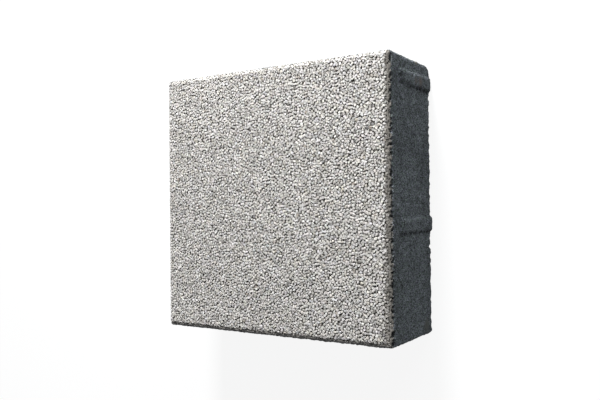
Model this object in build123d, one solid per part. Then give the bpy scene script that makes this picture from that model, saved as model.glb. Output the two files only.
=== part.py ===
"""A square concrete paver, pressed in one piece, with a bevelled wearing face and spacer lugs on its four sides.

Millimetres. The paver lies on its bedding face: the origin is the middle of that face, and +Z points
up through the wearing face. The lugs keep the joint open round a laid paver. Every side has the same
lugs, counted from its right-hand corner as seen from outside, so the lugs of two neighbours miss each
other, and each lug rests against the neighbour's plain side.
"""

import os

from build123d import *

# Driving dimensions of the slab
side_length = 198.5  # side to side, without the lugs
thickness = 70.0  # bedding face to wearing face
corner_radius = 3.0  # upright corners
face_bevel = 3.0  # each leg of the bevel round the wearing face
bed_bevel = 0.8  # each leg of the small bevel round the bedding face

# Driving dimensions of the spacer lugs
lug_height = 1.5  # how far a lug stands out of its side
lug_width = 12.0  # across its root
lug_flank_angle = 50.0  # lean of its flanks and upper end, from straight out
lug_root_depth = 2.0  # how far its root goes into the slab
lug_below_face = 15.0  # wearing face down to the lug's upper end
corner_lug_distance = 14.0  # right-hand corner to the middle of the lug beside it
middle_lug_distance = 117.0  # right-hand corner to the middle of the other lug


def make_slab():
    """The block without lugs: a rounded square prism, trimmed to a box with bevelled upper and lower edges."""
    prism = extrude(RectangleRounded(side_length, side_length, corner_radius), thickness)
    on_the_floor = (Align.CENTER, Align.CENTER, Align.MIN)
    envelope = Box(side_length, side_length, thickness, align=on_the_floor)
    envelope = chamfer(envelope.edges().group_by(Axis.Z)[-1], face_bevel)
    envelope = chamfer(envelope.edges().group_by(Axis.Z)[0], bed_bevel)
    return prism & envelope


def make_lug(corner_distance):
    """One lug of the +X side: a flat rib from the bedding face up to its sloping end, with leaning flanks."""
    lug_length = thickness - lug_below_face
    side_plane = Plane(origin=(side_length / 2, 0, 0), x_dir=(0, 1, 0), z_dir=(1, 0, 0))
    middle = Pos(side_length / 2 - corner_distance, 0)
    outline = side_plane * middle * Rectangle(lug_width, 2 * lug_length)
    rib = extrude(outline, lug_height, taper=lug_flank_angle) + extrude(outline, -lug_root_depth)
    rib = split(rib, bisect_by=Plane.XY, keep=Keep.TOP)
    outer_lower_edge = rib.edges().group_by(Axis.Z)[0].sort_by(Axis.X)[-1]
    return chamfer(outer_lower_edge, bed_bevel)


def make_paver():
    """The slab fused with its lugs, the same on each of the square's four sides."""
    paver = make_slab()
    for corner_distance in (corner_lug_distance, middle_lug_distance):
        lug = make_lug(corner_distance)
        for quarter_turn in (0, 90, 180, 270):
            paver += Rot(Z=quarter_turn) * lug
    return paver


os.makedirs("parts", exist_ok=True)
export_step(make_paver(), "parts/paver.step")
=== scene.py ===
import math

import bmesh
import bpy
import numpy as np
from mathutils import Matrix, Vector
from mathutils.kdtree import KDTree


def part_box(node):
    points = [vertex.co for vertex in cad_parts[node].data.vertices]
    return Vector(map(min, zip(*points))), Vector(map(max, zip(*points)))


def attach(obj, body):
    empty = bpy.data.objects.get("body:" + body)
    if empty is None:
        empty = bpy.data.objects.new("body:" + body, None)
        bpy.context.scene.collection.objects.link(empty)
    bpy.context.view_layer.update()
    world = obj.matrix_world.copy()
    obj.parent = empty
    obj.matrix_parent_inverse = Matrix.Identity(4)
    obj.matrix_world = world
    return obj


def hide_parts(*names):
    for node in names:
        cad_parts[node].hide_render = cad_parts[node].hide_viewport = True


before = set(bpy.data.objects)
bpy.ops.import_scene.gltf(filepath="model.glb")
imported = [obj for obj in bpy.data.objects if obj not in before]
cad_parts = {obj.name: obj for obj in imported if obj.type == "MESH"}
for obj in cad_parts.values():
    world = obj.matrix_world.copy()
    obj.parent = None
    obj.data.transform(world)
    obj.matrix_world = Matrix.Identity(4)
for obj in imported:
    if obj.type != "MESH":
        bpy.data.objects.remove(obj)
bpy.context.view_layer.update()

mm = 0.001
paverLow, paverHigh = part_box("paver")

# the pressed shape, shared by the cement block and the chips
paverShape = {
    "top": paverHigh[2],  # wearing face
    "lugHeight": 1.5 * mm,
    "bevel": 3.0 * mm,  # each leg, round the wearing face
    "cornerRadius": 3.0 * mm,
    "bedBevel": 0.8 * mm,
}
half = paverHigh[0] - paverShape["lugHeight"]  # middle to a plain side
faceHalf = half - paverShape["bevel"]  # middle to the edge of the flat wearing face
arrisHeight = paverShape["top"] - paverShape["bevel"]  # where a bevel meets its side


def deselectAll():
    if bpy.context.mode != "OBJECT":
        bpy.ops.object.mode_set(mode="OBJECT")
    bpy.ops.object.select_all(action="DESELECT")


def activate(piece):
    deselectAll()
    piece.select_set(True)
    bpy.context.view_layer.objects.active = piece


def addBlock(name, low, high):
    deselectAll()
    size = [b - a for a, b in zip(low, high)]
    centre = [(a + b) / 2 for a, b in zip(low, high)]
    bpy.ops.mesh.primitive_cube_add(size=1, location=centre, scale=size)
    block = bpy.context.object
    block.name = name
    bpy.ops.object.transform_apply(location=True, rotation=True, scale=True)
    return block


def bevelEdges(block, chosen, width, segments):
    activate(block)
    bpy.ops.object.mode_set(mode="EDIT")
    bpy.ops.mesh.select_mode(type="EDGE")
    bpy.ops.mesh.select_all(action="DESELECT")
    mesh = bmesh.from_edit_mesh(block.data)
    for edge in mesh.edges:
        edge.select_set(chosen(*[vert.co for vert in edge.verts]))
    bmesh.update_edit_mesh(block.data)
    bpy.ops.mesh.bevel(offset=width, segments=segments, affect="EDGES")
    bpy.ops.object.mode_set(mode="OBJECT")


def applyModifier(piece, kind, **values):
    activate(piece)
    modifier = piece.modifiers.new(kind.title(), kind)
    for key, value in values.items():
        setattr(modifier, key, value)
    bpy.ops.object.modifier_apply(modifier=modifier.name)


def readPoints(piece):
    points = np.empty(len(piece.data.vertices) * 3)
    piece.data.vertices.foreach_get("co", points)
    return points.reshape(-1, 3)


def writePoints(piece, points):
    piece.data.vertices.foreach_set("co", points.ravel())
    piece.data.update()


# the cement block: sides, lugs, bed, and the ground that the chips sit in
blockSettings = {
    "groundDepth": 1.2 * mm,  # cement below the wearing face
    "bevelDepth": 0.12 * mm,  # cement below the bevel
    "bareDepth": 0.6 * mm,  # below the -X and +Y bevels, where no film covers the chips
    "lugWidth": 12.0 * mm,
    "lugLean": 50.0,  # degrees from straight out
    "lugLength": 55.0 * mm,
    "lugRoot": 2.0 * mm,
    "lugPlaces": (14.0 * mm, 117.0 * mm),  # from the right-hand corner of a side
    "lugWear": 2.6 * mm,  # width of the worn flank at the bed
    "cell": 0.7 * mm,  # skin of the remeshed block
    "skinFaces": 185000,
    "roughRim": 2.5 * mm,  # how far in from the sides the relief reaches
    "waves": ((12.0 * mm, 0.40 * mm), (3.0 * mm, 0.60 * mm), (1.5 * mm, 0.45 * mm)),  # grain size, relief
    "seed": 5,
    # each kind of pit below has painted shade inside, its darkness given from 0 to 1
    "pits": 150,  # on each side
    "pitReach": (0.7 * mm, 1.5 * mm),
    "pitDepth": (0.3 * mm, 0.9 * mm),
    "pitPaintedShade": 0.3,  # how dark the painted shade inside is
    "arrisPits": 60,  # along each arris
    "arrisPitLength": (0.7 * mm, 2.2 * mm),
    "arrisPitReach": (0.7 * mm, 1.3 * mm),
    "arrisPitDepth": (0.6 * mm, 1.5 * mm),
    "arrisPitHeight": (-0.7, 0.3),  # mm above the arris
    "arrisPitPaintedShade": (0.6, 1.0),
    "bevelPits": 130,  # small ones on each bevel
    "bevelPitReach": (0.5 * mm, 1.0 * mm),
    "bevelPitDepth": (0.3 * mm, 0.9 * mm),
    "bevelPitPaintedShade": (0.4, 0.9),
    "lugPits": 34,  # along the foot of a lug
    "lugPitReach": (0.9 * mm, 2.0 * mm),
    "lugPitDepth": (0.4 * mm, 1.0 * mm),
    "lugPitPaintedShade": (0.3, 0.8),
    "bedPits": 70,  # along each edge of the bed
    "bedPitReach": (0.8 * mm, 2.6 * mm),
    "bedPitDepth": (0.3 * mm, 1.0 * mm),
    "bedPitPaintedShade": 0.5,
    "smoothAngle": 50.0,  # degrees
    "brokenCorner": ((1.0, 1.0, 0.0), (4.0 * mm, 4.6 * mm, 6.5 * mm)),  # which corner, and its three legs
    # marks of the +X side: y and z in mm, reach along both, depth (less than nothing stands out; deeper ones
    # get darker painted shade inside)
    "marks": (
        ((84.3, 52.6), (2.6, 1.8), 1.3),
        ((-17.0, 50.9), (2.4, 1.6), 1.1),
        ((-60.1, 52.7), (2.6, 1.5), 1.1),
        ((-64.0, 49.5), (1.6, 1.3), 0.9),
        ((-35.0, 1.3), (2.0, 3.0), 1.2),
        ((-94.6, 1.0), (7.0, 6.0), -0.3),
    ),
    # larger pits of the +X arris: y and half length in mm
    "arrisMarks": (
        (94.0, 1.5), (72.0, 1.2), (16.0, 2.0), (-9.0, 1.4), (-58.0, 1.5), (-89.0, 2.2), (-96.0, 2.4),
    ),
    "arrisMarkDepth": (1.6 * mm, 0.8 * mm),  # inwards and downwards
    "smallMarks": 24,  # more pits between them
    "smallMarkLength": (0.9, 1.3),  # half lengths in mm
    "smallMarkCrowding": 0.6,  # under 1, they crowd towards the -Y end
    "markSeed": 3,
}


def addLug(fromCorner):
    middle = half - fromCorner
    wide = blockSettings["lugWidth"]
    long = blockSettings["lugLength"]
    high = paverShape["lugHeight"]
    run = high * math.tan(math.radians(blockSettings["lugLean"]))  # lean of a flank over the lug's height
    low = (half - blockSettings["lugRoot"], middle - wide / 2, 0)
    lug = addBlock("lug", low, (half, middle + wide / 2, long))
    bpy.ops.object.mode_set(mode="EDIT")
    bpy.ops.mesh.select_mode(type="FACE")
    bpy.ops.mesh.select_all(action="DESELECT")
    mesh = bmesh.from_edit_mesh(lug.data)
    for face in mesh.faces:
        face.select_set(face.normal.x > 0.9)
    bmesh.update_edit_mesh(lug.data)
    bpy.ops.mesh.extrude_region_move(TRANSFORM_OT_translate={"value": (high, 0, 0)})
    shrink = (1, 1 - 2 * run / wide, 1 - run / long)
    bpy.ops.transform.resize(value=shrink, center_override=(half, middle, 0))
    bpy.ops.object.mode_set(mode="OBJECT")
    return lug


def pushIn(points, paintedShade, centre, reach, way, dark=0.0):
    # a rounded hollow, or a swelling, with its full depth at the centre, and painted shade in it, darkest at
    # the centre
    near = 1 - (((points - centre) / reach) ** 2).sum(1)
    inside = near > 0
    points[inside] += near[inside, None] ** 1.5 * way
    paintedShade[inside] = np.maximum(paintedShade[inside], np.sqrt(near[inside]) * dark)


def breakCorner(points):
    which, legs = blockSettings["brokenCorner"]
    corner = np.array([(2 * w - 1) * half for w in which[:2]] + [which[2] * paverShape["top"]])
    inward = np.array([1 - 2 * w for w in which])
    normal = -inward / np.array(legs)  # plane through the ends of the three legs
    reach = 1 / np.linalg.norm(normal)
    normal = normal * reach
    over = (points - corner) @ normal + reach
    cut = over > 0
    points[cut] -= over[cut, None] * normal


def weatherSide(points, paintedShade, rng):
    # works on the +X side: pits all over, rows of them along the arris, the bevel and the feet of the lugs,
    # each with painted shade inside
    rim = points[:, 0] > half - 2 * blockSettings["roughRim"]
    side, rimShade = points[rim], paintedShade[rim]
    for _ in range(blockSettings["pits"]):
        centre = (half, rng.uniform(-half, half), rng.uniform(0, arrisHeight))
        reach = rng.uniform(*blockSettings["pitReach"])
        pushIn(side, rimShade, centre, reach, (-rng.uniform(*blockSettings["pitDepth"]), 0, 0),
               blockSettings["pitPaintedShade"])
    for _ in range(blockSettings["arrisPits"]):
        along = rng.uniform(-half, half)
        height = arrisHeight + rng.uniform(*blockSettings["arrisPitHeight"]) * mm
        centre = (half, along, height)
        across = rng.uniform(*blockSettings["arrisPitReach"])
        reach = (across, rng.uniform(*blockSettings["arrisPitLength"]), across)
        depth = rng.uniform(*blockSettings["arrisPitDepth"])
        dark = rng.uniform(*blockSettings["arrisPitPaintedShade"])
        pushIn(side, rimShade, centre, reach, (-depth, 0, -depth / 2), dark)
    for _ in range(blockSettings["bevelPits"]):
        down = rng.uniform(1.0, paverShape["bevel"] / mm) * mm
        centre = (faceHalf + down, rng.uniform(-half, half), paverShape["top"] - down)
        depth = rng.uniform(*blockSettings["bevelPitDepth"])
        reach = rng.uniform(*blockSettings["bevelPitReach"])
        dark = rng.uniform(*blockSettings["bevelPitPaintedShade"])
        pushIn(side, rimShade, centre, reach, (-depth, 0, -depth), dark)
    # pits at the -Y foot of each lug, whose painted shade darkens that flank of the lug
    for fromCorner in blockSettings["lugPlaces"]:
        foot = half - fromCorner - blockSettings["lugWidth"] / 2
        for _ in range(blockSettings["lugPits"]):
            centre = (half, foot + rng.normal() * 0.6 * mm, rng.uniform(2 * mm, blockSettings["lugLength"]))
            reach = rng.uniform(*blockSettings["lugPitReach"])
            depth = rng.uniform(*blockSettings["lugPitDepth"])
            dark = rng.uniform(*blockSettings["lugPitPaintedShade"])
            pushIn(side, rimShade, centre, reach, (-depth, 0, 0), dark)
    for _ in range(blockSettings["bedPits"]):
        reach = rng.uniform(*blockSettings["bedPitReach"])
        depth = rng.uniform(*blockSettings["bedPitDepth"])
        centre = (half, rng.uniform(-half, half), 0)
        pushIn(side, rimShade, centre, reach, (-depth, 0, 0), blockSettings["bedPitPaintedShade"])
    points[rim], paintedShade[rim] = side, rimShade


def wearLugs(points):
    # rounds the +Y flanks of the +X side's lugs, the more the higher up
    long, high = blockSettings["lugLength"], paverShape["lugHeight"]
    run = high * math.tan(math.radians(blockSettings["lugLean"]))
    outer = np.flatnonzero((points[:, 0] > half - 0.4 * mm) & (points[:, 2] < long))
    z = points[outer, 2]
    wide = blockSettings["lugWear"] * (1 + z / long)
    for fromCorner in blockSettings["lugPlaces"]:
        down = half - fromCorner + blockSettings["lugWidth"] / 2 - points[outer, 1]  # from the flank's root
        made = high * np.minimum(np.clip(down / run, 0, 1), (long - z) / run)
        share = np.clip(down / wide, 0, 1)
        worn = np.minimum(made, high * share * share * (3 - 2 * share))
        points[outer, 0] -= np.where(down < wide, made - worn, 0)


def placeArrisMarks():
    rng = np.random.default_rng(blockSettings["markSeed"])
    count = blockSettings["smallMarks"]
    shares = (np.arange(count) + rng.uniform(size=count)) / count
    places = half / mm * (1 - 2 * shares ** blockSettings["smallMarkCrowding"])
    small = zip(places, rng.uniform(*blockSettings["smallMarkLength"], size=count))
    return [*blockSettings["arrisMarks"], *small]


def markSide(points, paintedShade):
    # each mark gets painted shade inside, darker the deeper it is, and the arris marks below get the darkest
    for (y, z), (along, up), depth in blockSettings["marks"]:
        reach = np.array((4.0, along, up)) * mm
        pushIn(points, paintedShade, (half, y * mm, z * mm), reach, (-depth * mm, 0, 0), max(0, 0.7 * depth))
    inwards, downwards = blockSettings["arrisMarkDepth"]
    for y, along in placeArrisMarks():
        reach = np.array((2.2, along, 1.0 + 0.3 * along)) * mm
        pushIn(points, paintedShade, (half, y * mm, arrisHeight), reach, (-inwards, 0, -downwards), 1.0)


def bareBevels(points):
    # lowers the cement of the -X and +Y bevels
    level = faceHalf + paverShape["top"] - blockSettings["bareDepth"] * math.sqrt(2)
    for axis, way in ((0, -1), (1, 1)):
        over = np.maximum(points[:, axis] * way + points[:, 2] - level, 0) / 2
        points[:, axis] -= way * over
        points[:, 2] -= over


def turnQuarter(points):
    points[:, 0], points[:, 1] = -points[:, 1].copy(), points[:, 0].copy()


def buildBlock():
    depth = blockSettings["groundDepth"]
    top = paverShape["top"] - depth
    leg = paverShape["bevel"] - depth + blockSettings["bevelDepth"] * math.sqrt(2)
    block = addBlock("cement_block", (-half, -half, 0), (half, half, top))
    bevelEdges(block, lambda a, b: abs(a.z - b.z) > mm, paverShape["cornerRadius"], 4)
    bevelEdges(block, lambda a, b: min(a.z, b.z) > top - mm / 10, leg, 1)
    bevelEdges(block, lambda a, b: max(a.z, b.z) < mm / 10, paverShape["bedBevel"], 2)
    lugs = []
    for fromCorner in blockSettings["lugPlaces"]:
        for turn in range(4):
            lug = addLug(fromCorner)
            lug.data.transform(Matrix.Rotation(turn * math.pi / 2, 4, "Z"))
            lugs.append(lug)
    activate(block)
    for lug in lugs:
        lug.select_set(True)
    bpy.ops.object.join()
    applyModifier(block, "REMESH", mode="VOXEL", voxel_size=blockSettings["cell"])
    points = readPoints(block)
    outer = np.abs(points[:, :2]).max(1) > half - blockSettings["roughRim"]
    block.vertex_groups.new(name="sides").add(np.flatnonzero(outer).tolist(), 1, "REPLACE")
    for number, (size, relief) in enumerate(blockSettings["waves"]):
        clouds = bpy.data.textures.new("grain_%d" % number, "CLOUDS")
        clouds.noise_scale = size
        clouds.noise_depth = 1
        applyModifier(block, "DISPLACE", texture=clouds, texture_coords="LOCAL", strength=relief,
                      mid_level=0.5, vertex_group="sides")
    points = readPoints(block)
    paintedShade = np.zeros(len(points))
    rng = np.random.default_rng(blockSettings["seed"])
    for _ in range(4):
        wearLugs(points)
        weatherSide(points, paintedShade, rng)
        turnQuarter(points)
    markSide(points, paintedShade)
    bareBevels(points)
    breakCorner(points)
    points[:, 2] = np.maximum(points[:, 2], 0)  # lies flat on its bed
    points[:, :2] = np.clip(points[:, :2], -paverHigh[0], paverHigh[0])
    writePoints(block, points)
    # the painted shade of the pits and hollows, stored per point for the material
    block.data.attributes.new("paintedShade", "FLOAT", "POINT").data.foreach_set("value", paintedShade)
    block.vertex_groups.clear()
    faces = len(block.data.polygons) * 2
    applyModifier(block, "DECIMATE", ratio=min(1, blockSettings["skinFaces"] / faces))
    writePoints(block, np.clip(readPoints(block), paverLow, paverHigh))  # thinning moves some out
    activate(block)
    bpy.ops.object.shade_smooth_by_angle(angle=math.radians(blockSettings["smoothAngle"]))
    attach(block, "root")
    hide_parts("paver")
    print("cement block:", len(block.data.polygons), "faces")
    return block


filmColour = (0.24, 0.224, 0.202)  # cement film on the bevel and low on the chips
filmWithPaintedLight = (0.42, 0.40, 0.375)  # cement film on the -Y bevel, painted paler as painted light on that shaded bevel

# stone chips pressed into the wearing face and its bevel
chipSettings = {
    "seed": 11,
    "patterns": 24,  # different chip shapes
    "patternFaces": 20,
    "roughness": 0.45,  # how irregular a chip is
    "spacings": ((2.6 * mm, 1000), (2.15 * mm, 2000), (1.7 * mm, 9000)),  # least distance and how many
    "nearby": 3.0 * mm,  # more than any of these distances
    "gritRadius": (0.45 * mm, 0.65 * mm),  # small ones in the gaps
    "gritGap": 0.28 * mm,  # least room between the chips for them
    "gritApart": 1.1 * mm,
    "gritMost": 9000,
    "gritSink": 0.35 * mm,
    "swell": 0.97,  # corners of a chip reach past its radius
    "cut": 0.25,  # height of the pressed flat, in radii above the middle
    "cutTilt": 0.15,
    "stretch": (0.82, 1.18),  # of a chip, each way
    "sink": 0.30 * mm,  # deepest top below the wearing face
    "bevelSink": (0.08 * mm, 0.45 * mm),  # further down on the +X and -Y bevels, under the cement film
    "arrisSink": 0.7 * mm,  # and further still at the foot of the +X bevel
    "footFrom": 2.2 * mm,  # how far down the bevel its foot starts
    "fallenFrom": 1.2 * mm,  # and where the pits of the arris leave none
    "bevelFilm": (0.55, 1.0),  # how much of the film's colour they have there
    "shoulder": (0.4 * mm, 2.8 * mm),  # how far in from the +X bevel all this starts, at its +Y and -Y ends; the film this brings onto the face is painted shade
    "filmBlend": 0.6 * mm,  # from none of it to all
    "paintedEdgeShade": (6.5 * mm, 0.9),  # painted shade near the +X edge: how far in a thinner film reaches at the -Y corner, and its most
    "wornWidth": 2.4 * mm,  # rounded shoulder at the -Y edge
    "wornDrop": 0.5 * mm,
    "hueSpread": (0.016, 0.0, 0.026),
    "coatSpread": (0.8, 1.2),  # of the film's brightness
    "gridStep": 0.35 * mm,  # of the cells that a chip can lie on
    # share, colour and spread of the kinds of stone
    "stones": (
        (0.865, (0.716, 0.694, 0.667), 0.045),
        (0.10, (0.606, 0.594, 0.570), 0.05),
        (0.02, (0.62, 0.585, 0.535), 0.05),
        (0.005, (0.53, 0.48, 0.44), 0.04),
        (0.01, (0.32, 0.31, 0.30), 0.04),
    ),
}


def throwChips(rng, cells, room, apart, most):
    # takes cells in turn, each at least this far from the ones before
    taken = []
    for cell in rng.permutation(np.flatnonzero(room >= apart)):
        if room[cell] >= apart and len(taken) < most:
            taken.append(cell)
            near = np.flatnonzero(np.abs(cells[:, 0] - cells[cell, 0]) < chipSettings["nearby"])
            room[near] = np.minimum(room[near], np.hypot(*(cells[near] - cells[cell]).T))
    return cells[taken]


def nearestChip(chips, cells):
    tree = KDTree(len(chips))
    for number, (u, v) in enumerate(chips):
        tree.insert((u, v, 0), number)
    tree.balance()
    found = [tree.find((u, v, 0)) for u, v in cells]
    return np.array([hit[1] for hit in found]), np.array([hit[2] for hit in found])


def scatterChips(rng):
    # the face and its bevels as a flat sheet; each chip is as big as its share of it
    reach = faceHalf + paverShape["bevel"] * math.sqrt(2)
    line = np.arange(-reach, reach, chipSettings["gridStep"])
    cells = np.stack(np.meshgrid(line, line, indexing="ij"), -1).reshape(-1, 2)
    cells = cells[np.abs(cells).min(1) < faceHalf]  # the bevels meet at the corners
    room = np.ones(len(cells))
    chips = np.concatenate([throwChips(rng, cells, room, *kind) for kind in chipSettings["spacings"]])
    owner, away = nearestChip(chips, cells)
    radius = np.sqrt(np.bincount(owner, minlength=len(chips)) / math.pi) * chipSettings["gridStep"]
    free = away - radius[owner] > chipSettings["gritGap"]
    grit = throwChips(rng, cells, np.where(free, 1.0, 0.0), chipSettings["gritApart"],
                      chipSettings["gritMost"])
    gritRadius = rng.uniform(*chipSettings["gritRadius"], size=len(grit))
    print("chips:", len(chips), "of radius %.2f mm," % (radius.mean() / mm), "grit:", len(grit))
    radius = radius * rng.uniform(0.94, 1.06, size=len(chips))
    chips = np.c_[chips, radius, np.zeros(len(chips))]
    return np.concatenate([chips, np.c_[grit, gritRadius, np.ones(len(grit))]])


def fallenOut(chips):
    # none are left in the pits of the +X arris
    gone = np.zeros(len(chips), bool)
    low = chips[:, 0] > faceHalf + chipSettings["fallenFrom"]
    for y, along in placeArrisMarks():
        gone |= low & (np.abs(chips[:, 1] - y * mm) < (along + 0.3) * mm)
    return gone


def foldOntoFace(u, v):
    # lays the flat sheet over the face and down its bevels, rounded off at the -Y edge
    overU = np.maximum(np.abs(u) - faceHalf, 0)
    overV = np.maximum(np.abs(v) - faceHalf, 0)
    lean = math.sqrt(0.5)
    x = np.clip(u, -faceHalf, faceHalf) + np.sign(u) * overU * lean
    y = np.clip(v, -faceHalf, faceHalf) + np.sign(v) * overV * lean
    z = paverShape["top"] - np.maximum(overU, overV) * lean
    worn = np.clip(1 - (v + faceHalf) / chipSettings["wornWidth"], 0, 1)
    z = z - chipSettings["wornDrop"] * worn ** 2
    slope = 2 * chipSettings["wornDrop"] / chipSettings["wornWidth"] * worn * (overV == 0)
    normal = np.stack([np.sign(u) * (overU > 0), np.sign(v) * (overV > 0) - slope, np.ones_like(u)], 1)
    normal /= np.linalg.norm(normal, axis=1)[:, None]
    return np.stack([x, y, z], 1), normal


def chipPattern(seed):
    deselectAll()
    bpy.ops.mesh.primitive_ico_sphere_add(subdivisions=2, radius=1)
    pattern = bpy.context.object
    bpy.ops.object.mode_set(mode="EDIT")
    bpy.ops.mesh.select_all(action="SELECT")
    bpy.ops.transform.vertex_random(offset=chipSettings["roughness"], uniform=0, normal=0, seed=seed)
    bpy.ops.mesh.convex_hull()
    bpy.ops.mesh.quads_convert_to_tris()
    bpy.ops.object.mode_set(mode="OBJECT")
    applyModifier(pattern, "DECIMATE", ratio=chipSettings["patternFaces"] / len(pattern.data.polygons))
    activate(pattern)
    bpy.ops.object.mode_set(mode="EDIT")
    bpy.ops.mesh.select_all(action="SELECT")
    bpy.ops.mesh.quads_convert_to_tris()
    bpy.ops.mesh.normals_make_consistent(inside=False)
    bpy.ops.object.mode_set(mode="OBJECT")
    points = readPoints(pattern)
    points -= (points.max(0) + points.min(0)) / 2
    points /= np.linalg.norm(points, axis=1).mean()
    faces = np.array([list(face.vertices) for face in pattern.data.polygons])
    bpy.data.objects.remove(pattern)
    return points, faces


def randomTurns(rng, count):
    q = rng.normal(size=(count, 4))
    w, x, y, z = (q / np.linalg.norm(q, axis=1)[:, None]).T
    return np.stack([
        np.stack([1 - 2 * (y * y + z * z), 2 * (x * y - z * w), 2 * (x * z + y * w)], 1),
        np.stack([2 * (x * y + z * w), 1 - 2 * (x * x + z * z), 2 * (y * z - x * w)], 1),
        np.stack([2 * (x * z - y * w), 2 * (y * z + x * w), 1 - 2 * (x * x + y * y)], 1),
    ], 1)


def keepInside(points):
    # nothing stands out of the pressed faces
    top = paverShape["top"]
    points[:, 2] = np.minimum(points[:, 2], top)
    for axis in (0, 1):
        points[:, axis] = np.clip(points[:, axis], -half, half)
        over = np.maximum(np.abs(points[:, axis]) + points[:, 2] - (faceHalf + top), 0) / 2
        points[:, axis] -= np.sign(points[:, axis]) * over
        points[:, 2] -= over
    return points


def chipColours(rng, chips, past):
    # past: 0 on the wearing face, 1 well down on the bevel; near the +X edge it starts on the face, where its
    # film is painted shade
    count = len(chips)
    stones = chipSettings["stones"]
    shares = np.array([share for share, _, _ in stones])
    which = rng.choice(len(stones), count, p=shares / shares.sum())
    colour = np.array([tone for _, tone, _ in stones])[which]
    spread = np.array([width for _, _, width in stones])[which]
    colour = np.clip(colour + rng.normal(size=count)[:, None] * spread[:, None], 0.05, 0.92)
    colour = colour * (1 + rng.normal(size=(count, 3)) * chipSettings["hueSpread"])
    film = past * rng.uniform(*chipSettings["bevelFilm"], size=count)
    # painted shade near the +X edge, reaching furthest in at the -Y corner, given as film colour
    reach, most = chipSettings["paintedEdgeShade"]
    reach = reach * np.clip((0.3 - chips[:, 1] / half) / 1.3, 0.02, 1)
    edge = np.clip((chips[:, 0] - faceHalf) / reach + 1, 0, 1) * most
    film = np.maximum(film, edge * rng.uniform(size=count))[:, None]
    # chips on the -Y bevel take the paler film: painted light on that shaded bevel
    coat = np.where(chips[:, 1:2] < -faceHalf, [filmWithPaintedLight], [filmColour])
    coat = coat * rng.uniform(*chipSettings["coatSpread"], size=(count, 1))
    return colour * (1 - film) + coat * film


def joinChips(name, points, faces, tones):
    mesh = bpy.data.meshes.new(name)
    mesh.from_pydata(points.tolist(), [], faces.tolist())
    colour = mesh.color_attributes.new("chipColour", "FLOAT_COLOR", "POINT")
    colour.data.foreach_set("color", np.c_[tones, np.ones(len(tones))].ravel())
    uv = mesh.uv_layers.new(name="OFBake")  # seen from above, one map for all the chips of the piece
    uv.data.foreach_set("uv", (points[faces.ravel(), :2] / (2 * half) + 0.5).ravel())
    piece = bpy.data.objects.new(name, mesh)
    bpy.context.scene.collection.objects.link(piece)
    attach(piece, "root")
    print(name + ":", len(faces), "faces")
    return piece


def buildChips():
    rng = np.random.default_rng(chipSettings["seed"])
    chips = scatterChips(rng)
    chips = chips[~fallenOut(chips)]
    patterns = [chipPattern(seed + 1) for seed in range(chipSettings["patterns"])]
    which = rng.integers(len(patterns), size=len(chips))
    turns = randomTurns(rng, len(chips))
    stretch = rng.uniform(*chipSettings["stretch"], size=(len(chips), 3))
    tilts = rng.normal(size=(len(chips), 2)) * chipSettings["cutTilt"]
    # brings the film and the sinking in onto the face near the +X edge, more so towards -Y; the film there is
    # painted shade
    shoulder = np.interp(-chips[:, 1], (-half, half), chipSettings["shoulder"])
    past = np.maximum(chips[:, 0] + shoulder, -chips[:, 1]) - faceHalf
    past = np.clip(past / chipSettings["filmBlend"], 0, 1)
    sinks = chipSettings["sink"] * rng.uniform(size=len(chips)) ** 1.5
    sinks = sinks + past * rng.uniform(*chipSettings["bevelSink"], size=len(chips))
    foot = np.clip((chips[:, 0] - faceHalf - chipSettings["footFrom"]) / mm, 0, 1)
    sinks = sinks + foot * chipSettings["arrisSink"] + chips[:, 3] * chipSettings["gritSink"]
    tones = chipColours(rng, chips, past)
    places, normals = foldOntoFace(chips[:, 0], chips[:, 1])
    sideways = np.cross(normals, np.array([0.0, 1.0, 0.001]))
    sideways /= np.linalg.norm(sideways, axis=1)[:, None]
    upwards = np.cross(normals, sideways)
    coarse = chips[:, 3] == 0
    pieces = []
    for name, chosen in (("coarse_chips", coarse), ("fine_chips", ~coarse)):
        allPoints, allFaces, allTones = [], [], []
        start = 0
        for number, (points, faces) in enumerate(patterns):
            mine = np.flatnonzero((which == number) & chosen)
            radius = chips[mine, 2][:, None]
            shape = points[None] * stretch[mine][:, None, :] * chipSettings["swell"]
            local = np.einsum("kij,knj->kni", turns[mine], shape) * radius[..., None]
            flat = radius * chipSettings["cut"]
            flat = flat + local[..., 0] * tilts[mine, :1] + local[..., 1] * tilts[mine, 1:]
            local[..., 2] = np.minimum(local[..., 2], flat)
            local[..., 2] -= local[..., 2].max(1)[:, None] + sinks[mine][:, None]
            placed = places[mine][:, None] + local[..., :1] * sideways[mine][:, None]
            placed = placed + local[..., 1:2] * upwards[mine][:, None]
            placed = placed + local[..., 2:] * normals[mine][:, None]
            allPoints.append(keepInside(placed.reshape(-1, 3)))
            offsets = start + np.arange(len(mine)) * len(points)
            allFaces.append((faces[None] + offsets[:, None, None]).reshape(-1, 3))
            allTones.append(np.repeat(tones[mine], len(points), axis=0))
            start += len(mine) * len(points)
        pieces.append(joinChips(name, *[np.concatenate(part) for part in (allPoints, allFaces, allTones)]))
    return pieces


# materials
def newMaterial(name):
    material = bpy.data.materials.new(name)
    material.use_nodes = True
    return material, material.node_tree.nodes, material.node_tree.links


def noiseNode(nodes, links, vector, size, detail, roughness=0.55):
    node = nodes.new("ShaderNodeTexNoise")
    node.inputs["Scale"].default_value = 1 / size
    node.inputs["Detail"].default_value = detail
    node.inputs["Roughness"].default_value = roughness
    links.new(vector, node.inputs["Vector"])
    return node.outputs["Fac"]


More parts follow.
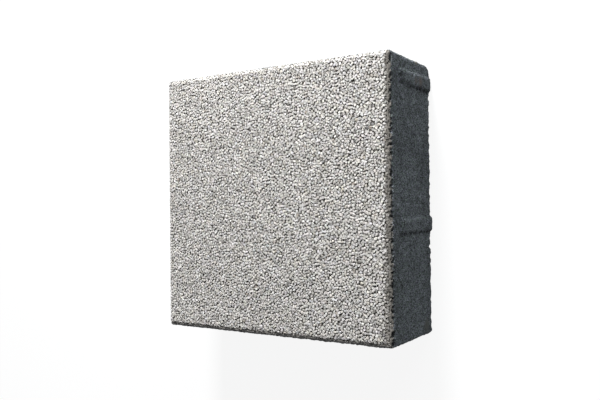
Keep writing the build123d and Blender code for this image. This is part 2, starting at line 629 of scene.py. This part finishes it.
def rampNode(nodes, links, value, stops):
    node = nodes.new("ShaderNodeValToRGB")
    while len(node.color_ramp.elements) < len(stops):
        node.color_ramp.elements.new(0.5)
    for element, (place, colour) in zip(node.color_ramp.elements, stops):
        element.position = place
        element.color = (*colour, 1)
    links.new(value, node.inputs["Fac"])
    return node.outputs["Color"]


def mixNode(nodes, links, kind, factor, first, second):
    node = nodes.new("ShaderNodeMix")
    node.data_type = "RGBA"
    node.blend_type = kind
    sockets = [socket for socket in node.inputs if socket.enabled]
    for socket, value in zip(sockets, (factor, first, second)):
        if isinstance(value, bpy.types.NodeSocket):
            links.new(value, socket)
        else:
            socket.default_value = value
    return [socket for socket in node.outputs if socket.enabled][0]


def rangeNode(nodes, links, value, low, high):
    # 0 at low, 1 at high
    node = nodes.new("ShaderNodeMapRange")
    node.inputs["From Min"].default_value = low
    node.inputs["From Max"].default_value = high
    links.new(value, node.inputs["Value"])
    return node.outputs["Result"]


def bumpNode(nodes, links, height, strength, distance):
    node = nodes.new("ShaderNodeBump")
    node.inputs["Strength"].default_value = strength
    node.inputs["Distance"].default_value = distance
    links.new(height, node.inputs["Height"])
    return node.outputs["Normal"]


def mathNode(nodes, links, operation, *values):
    node = nodes.new("ShaderNodeMath")
    node.operation = operation
    for socket, value in zip(node.inputs, values):
        if isinstance(value, bpy.types.NodeSocket):
            links.new(value, socket)
        else:
            socket.default_value = value
    return node.outputs[0]


def grainGroup():
    # fine grain of a stone: a colour to multiply by, a roughness and a height
    group = bpy.data.node_groups.new("stone_grain", "ShaderNodeTree")
    sockets = group.interface
    sockets.new_socket("Vector", in_out="INPUT", socket_type="NodeSocketVector")
    sockets.new_socket("Scale", in_out="INPUT", socket_type="NodeSocketFloat")
    sockets.new_socket("Contrast", in_out="INPUT", socket_type="NodeSocketFloat")
    sockets.new_socket("Dark", in_out="INPUT", socket_type="NodeSocketColor")
    sockets.new_socket("Light", in_out="INPUT", socket_type="NodeSocketColor")
    sockets.new_socket("Colour", in_out="OUTPUT", socket_type="NodeSocketColor")
    sockets.new_socket("Roughness", in_out="OUTPUT", socket_type="NodeSocketFloat")
    sockets.new_socket("Height", in_out="OUTPUT", socket_type="NodeSocketFloat")
    nodes, links = group.nodes, group.links
    given = nodes.new("NodeGroupInput").outputs
    made = nodes.new("NodeGroupOutput").inputs
    grain = noiseNode(nodes, links, given["Vector"], 1.0, 3, 0.7)
    links.new(given["Scale"], grain.node.inputs["Scale"])
    share = mathNode(nodes, links, "SUBTRACT", grain, 0.5)
    share = mathNode(nodes, links, "MULTIPLY_ADD", share, given["Contrast"], 0.5)
    links.new(mixNode(nodes, links, "MIX", share, given["Dark"], given["Light"]), made["Colour"])
    links.new(mathNode(nodes, links, "MULTIPLY_ADD", grain, -0.3, 0.95), made["Roughness"])
    links.new(grain, made["Height"])
    return group


def placeGrain(nodes, links, group, where, size, contrast, dark, light):
    node = nodes.new("ShaderNodeGroup")
    node.node_tree = group
    links.new(where, node.inputs["Vector"])
    node.inputs["Scale"].default_value = 1 / size
    node.inputs["Contrast"].default_value = contrast
    node.inputs["Dark"].default_value = (*dark, 1)
    node.inputs["Light"].default_value = (*light, 1)
    return node.outputs


def splitPlace(nodes, links, where):
    split = nodes.new("ShaderNodeSeparateXYZ")
    links.new(where, split.inputs[0])
    return [split.outputs[axis] for axis in "XYZ"]


concreteSettings = {
    "colour": (0.196, 0.216, 0.224),
    "grain": 0.9 * mm,
    "grainContrast": 5.5,
    "grainDark": (0.10, 0.10, 0.10),
    "grainLight": (1.94, 1.94, 1.94),
    "tints": ((0.94, 1.03, 0.93), (1.03, 0.97, 1.10)),
    "tintSize": 1.8 * mm,
    "patches": 5 * mm,
    "patchTones": ((0.68, 0.68, 0.68), (1.30, 1.30, 1.30)),
    "clouds": 22 * mm,
    "cloudTones": ((0.74, 0.74, 0.74), (1.11, 1.11, 1.11)),
    "raggedness": 3.0 * mm,  # of the film's lower edge and of the painted shade along the bed's edge
    "raggedSize": 2.2 * mm,
    # near-black painted shade low on the sides, along the bed's edge
    "bedEdgeShade": (0.05, 0.055, 0.065),
    "bedEdgeShadeHeights": (3.2 * mm, 1.4 * mm),  # where the painted shade starts, and where it is full
    "gapCementAndShade": (0.100, 0.092, 0.080),  # cement between the chips: darker cement, with painted shade of the gaps on top
    "groundBelow": 3.2 * mm,  # how far below the wearing face it starts
    "groundBlend": 0.3 * mm,
    "filmStart": (0.4 * mm, 0.8 * mm),  # past the face's edge, from no film to all of it
    # past the face's -Y edge, from the plain film to the paler one with painted light
    "paintedLightStart": (0.2 * mm, 0.6 * mm),
    "filmGrain": 0.8 * mm,
    "filmContrast": 3.5,
    "filmDark": (0.55, 0.55, 0.55),
    "filmLight": (1.40, 1.40, 1.40),
    # near-black painted shade for the inside of pits and hollows
    "paintedShadeColour": (0.022, 0.021, 0.020),
    "shine": 0.15,
    "bump": (0.7, 0.6 * mm),  # strength and height
    # stains on the +X side: y and z in mm, size in mm, colour
    "stains": (
        ((84.5, 20.0), 5.0, (0.20, 0.175, 0.165)),
        ((84.0, 28.0), 4.0, (0.18, 0.165, 0.155)),
        ((-92.0, 10.7), 7.0, (0.165, 0.172, 0.163)),
        ((98.3, 24.0), 3.0, (0.30, 0.27, 0.21)),
    ),
}


def concreteMaterial(grainKind):
    material, nodes, links = newMaterial("grey_concrete")
    shader = nodes["Principled BSDF"]
    where = nodes.new("ShaderNodeTexCoord").outputs["Object"]
    dark, light = concreteSettings["grainDark"], concreteSettings["grainLight"]
    contrast = concreteSettings["grainContrast"]
    grain = placeGrain(nodes, links, grainKind, where, concreteSettings["grain"], contrast, dark, light)
    clouds = noiseNode(nodes, links, where, concreteSettings["clouds"], 2)
    tint = noiseNode(nodes, links, where, concreteSettings["tintSize"], 1)
    first, second = concreteSettings["cloudTones"]
    tone = rampNode(nodes, links, clouds, ((0.3, first), (0.7, second)))
    colour = mixNode(nodes, links, "MULTIPLY", 1.0, grain["Colour"], tone)
    patches = noiseNode(nodes, links, where, concreteSettings["patches"], 2)
    first, second = concreteSettings["patchTones"]
    tone = rampNode(nodes, links, patches, ((0.3, first), (0.7, second)))
    colour = mixNode(nodes, links, "MULTIPLY", 1.0, colour, tone)
    first, second = concreteSettings["tints"]
    tone = rampNode(nodes, links, tint, ((0.35, first), (0.65, second)))
    colour = mixNode(nodes, links, "MULTIPLY", 1.0, colour, tone)
    colour = mixNode(nodes, links, "MULTIPLY", 1.0, colour, (*concreteSettings["colour"], 1))
    for (y, z), size, stain in concreteSettings["stains"]:
        away = nodes.new("ShaderNodeVectorMath")
        away.operation = "DISTANCE"
        links.new(where, away.inputs[0])
        away.inputs[1].default_value = (half, y * mm, z * mm)
        mask = rangeNode(nodes, links, away.outputs["Value"], size * mm, 0.3 * size * mm)
        colour = mixNode(nodes, links, "MIX", mask, colour, (*stain, 1))
    x, y, z = splitPlace(nodes, links, where)
    down = mathNode(nodes, links, "MULTIPLY", y, -1.0)
    ragged = noiseNode(nodes, links, where, concreteSettings["raggedSize"], 2)
    shift = mathNode(nodes, links, "MULTIPLY_ADD", ragged, concreteSettings["raggedness"],
                     -0.5 * concreteSettings["raggedness"])
    raggedZ = mathNode(nodes, links, "ADD", z, shift)
    # painted shade low on the sides, along the bed's edge
    mask = rangeNode(nodes, links, raggedZ, *concreteSettings["bedEdgeShadeHeights"])
    colour = mixNode(nodes, links, "MIX", mask, colour, (*concreteSettings["bedEdgeShade"], 1))
    dark, light = concreteSettings["filmDark"], concreteSettings["filmLight"]
    size, contrast = concreteSettings["filmGrain"], concreteSettings["filmContrast"]
    fine = placeGrain(nodes, links, grainKind, where, size, contrast, dark, light)
    film = mixNode(nodes, links, "MULTIPLY", 1.0, fine["Colour"], (*filmColour, 1))
    # painted light: the shaded -Y bevel takes the paler film
    paintedLightShare = rangeNode(nodes, links, down, *[faceHalf + past for past in concreteSettings["paintedLightStart"]])
    film = mixNode(nodes, links, "MIX", paintedLightShare, film, (*filmWithPaintedLight, 1))
    across = mathNode(nodes, links, "MAXIMUM", x, down)
    onBevel = rangeNode(nodes, links, across, *[faceHalf + past for past in concreteSettings["filmStart"]])
    # the face's ground takes the cement colour darkened with painted shade of the gaps; the bevels take the
    # film
    ground = mixNode(nodes, links, "MIX", onBevel, (*concreteSettings["gapCementAndShade"], 1), film)
    low = paverShape["top"] - concreteSettings["groundBelow"]
    blend = concreteSettings["groundBlend"]
    mask = rangeNode(nodes, links, raggedZ, low - blend, low + blend)
    colour = mixNode(nodes, links, "MIX", mask, colour, ground)
    # painted shade inside the pits and hollows, from the per-point attribute
    paintedShade = nodes.new("ShaderNodeAttribute")
    paintedShade.attribute_name = "paintedShade"
    colour = mixNode(nodes, links, "MIX", paintedShade.outputs["Fac"], colour, (*concreteSettings["paintedShadeColour"], 1))
    links.new(colour, shader.inputs["Base Color"])
    links.new(grain["Roughness"], shader.inputs["Roughness"])
    shader.inputs["Specular IOR Level"].default_value = concreteSettings["shine"]
    bump = bumpNode(nodes, links, grain["Height"], *concreteSettings["bump"])
    links.new(bump, shader.inputs["Normal"])
    return material


chipFinish = {
    "speckle": 1.1 * mm,
    "speckleContrast": 3.5,
    "speckleDark": (0.52, 0.51, 0.50),
    "speckleLight": (1.22, 1.22, 1.22),
    "filmFrom": 0.6 * mm,  # depth where the cement film starts, and where it covers the chips
    "filmTo": 1.4 * mm,
    "shine": 0.25,
    "bump": (0.25, 0.25 * mm),  # strength and height
}


def chipMaterial(grainKind):
    material, nodes, links = newMaterial("granite_chips")
    shader = nodes["Principled BSDF"]
    where = nodes.new("ShaderNodeTexCoord").outputs["Object"]
    own = nodes.new("ShaderNodeAttribute")
    own.attribute_name = "chipColour"
    dark, light = chipFinish["speckleDark"], chipFinish["speckleLight"]
    size, contrast = chipFinish["speckle"], chipFinish["speckleContrast"]
    grain = placeGrain(nodes, links, grainKind, where, size, contrast, dark, light)
    colour = mixNode(nodes, links, "MULTIPLY", 1.0, own.outputs["Color"], grain["Colour"])
    x, y, z = splitPlace(nodes, links, where)
    across = [mathNode(nodes, links, "ABSOLUTE", place) for place in (x, y)]
    across = mathNode(nodes, links, "MAXIMUM", *across)
    top = paverShape["top"]
    fromFace = mathNode(nodes, links, "SUBTRACT", top, z)
    fromBevel = mathNode(nodes, links, "SUBTRACT", faceHalf + top, mathNode(nodes, links, "ADD", across, z))
    fromBevel = mathNode(nodes, links, "MULTIPLY", fromBevel, math.sqrt(0.5))
    depth = mathNode(nodes, links, "MINIMUM", fromFace, fromBevel)
    film = rangeNode(nodes, links, depth, chipFinish["filmFrom"], chipFinish["filmTo"])
    colour = mixNode(nodes, links, "MIX", film, colour, (*filmColour, 1))
    links.new(colour, shader.inputs["Base Color"])
    links.new(grain["Roughness"], shader.inputs["Roughness"])
    shader.inputs["Specular IOR Level"].default_value = chipFinish["shine"]
    bump = bumpNode(nodes, links, grain["Height"], *chipFinish["bump"])
    links.new(bump, shader.inputs["Normal"])
    return material


def brightToCamera(nodes, links):
    # 1 for what the camera sees, straight or in a reflection
    path = nodes.new("ShaderNodeLightPath")
    seen = path.outputs["Is Camera Ray"]
    for other in ("Is Glossy Ray", "Is Transmission Ray"):
        seen = mathNode(nodes, links, "MAXIMUM", seen, path.outputs[other])
    return seen


def floorMaterial():
    material, nodes, links = newMaterial("pale_floor")
    nodes.remove(nodes["Principled BSDF"])
    plain = nodes.new("ShaderNodeBsdfDiffuse")
    plain.inputs["Color"].default_value = (*[stageSettings["floorColour"]] * 3, 1)
    glow = nodes.new("ShaderNodeEmission")
    glow.inputs["Strength"].default_value = stageSettings["floorGlow"]
    shown = nodes.new("ShaderNodeAddShader")
    links.new(plain.outputs[0], shown.inputs[0])
    links.new(glow.outputs[0], shown.inputs[1])
    mix = nodes.new("ShaderNodeMixShader")
    links.new(brightToCamera(nodes, links), mix.inputs[0])
    links.new(plain.outputs[0], mix.inputs[1])
    links.new(shown.outputs[0], mix.inputs[2])
    links.new(mix.outputs[0], nodes["Material Output"].inputs["Surface"])
    return material


# floor, light and camera
stageSettings = {
    "floorSize": 12.0,
    "floorGap": 0.1 * mm,  # keeps the bed from flickering through the floor
    "floorColour": 0.14,
    "floorGlow": 0.90,
    "ambient": (0.115, 0.122, 0.130),
    # way from the paver towards the lamp, distance, size, power, colour
    "lamps": {
        "softbox": ((-0.02, 0.90, 0.70), 1.0, 0.22, 14.4, (1.0, 1.0, 1.0)),
        "fill": ((0.45, 0.95, 0.45), 1.5, 0.8, 6.4, (0.93, 0.98, 1.0)),
    },
    "cameraPlace": (0.28682, -0.00605, 0.47571),
    "cameraTurn": (0.363, 32.46, -0.714),  # degrees
    "cameraLens": 40.54,
}


def buildWorld():
    world = bpy.data.worlds.new("studio")
    bpy.context.scene.world = world
    world.use_nodes = True
    nodes, links = world.node_tree.nodes, world.node_tree.links
    ambient = nodes["Background"]
    ambient.inputs["Color"].default_value = (*stageSettings["ambient"], 1)
    white = nodes.new("ShaderNodeBackground")
    white.inputs["Color"].default_value = (1, 1, 1, 1)
    mix = nodes.new("ShaderNodeMixShader")
    links.new(brightToCamera(nodes, links), mix.inputs[0])
    links.new(ambient.outputs[0], mix.inputs[1])
    links.new(white.outputs[0], mix.inputs[2])
    links.new(mix.outputs[0], nodes["World Output"].inputs["Surface"])


def addLamp(name, way, distance, size, power, colour):
    light = bpy.data.lights.new(name, "AREA")
    light.shape = "DISK"
    light.size = size
    light.energy = power
    light.color = colour
    lamp = bpy.data.objects.new(name, light)
    way = Vector(way).normalized()
    lamp.location = way * distance
    lamp.rotation_euler = way.to_track_quat("Z", "Y").to_euler()
    bpy.context.scene.collection.objects.link(lamp)


def buildStage():
    deselectAll()
    below = (0, 0, -stageSettings["floorGap"])
    bpy.ops.mesh.primitive_plane_add(size=stageSettings["floorSize"], location=below)
    bpy.ops.object.transform_apply(location=True, rotation=True, scale=True)
    floor = bpy.context.object
    floor.name = "floor"
    floor.data.materials.append(floorMaterial())
    buildWorld()
    for name, values in stageSettings["lamps"].items():
        addLamp(name, *values)
    lens = bpy.data.cameras.new("camera")
    lens.lens = stageSettings["cameraLens"]
    lens.clip_start = 0.01
    camera = bpy.data.objects.new("camera", lens)
    camera.location = stageSettings["cameraPlace"]
    camera.rotation_euler = [math.radians(turn) for turn in stageSettings["cameraTurn"]]
    bpy.context.scene.collection.objects.link(camera)
    bpy.context.scene.camera = camera
    bpy.context.scene.view_settings.view_transform = "Standard"
    print("stage: floor, lamps and camera")


block = buildBlock()
block.data.materials.clear()
stoneGrain = grainGroup()
block.data.materials.append(concreteMaterial(stoneGrain))
granite = chipMaterial(stoneGrain)
for chips in buildChips():
    chips.data.materials.append(granite)
buildStage()
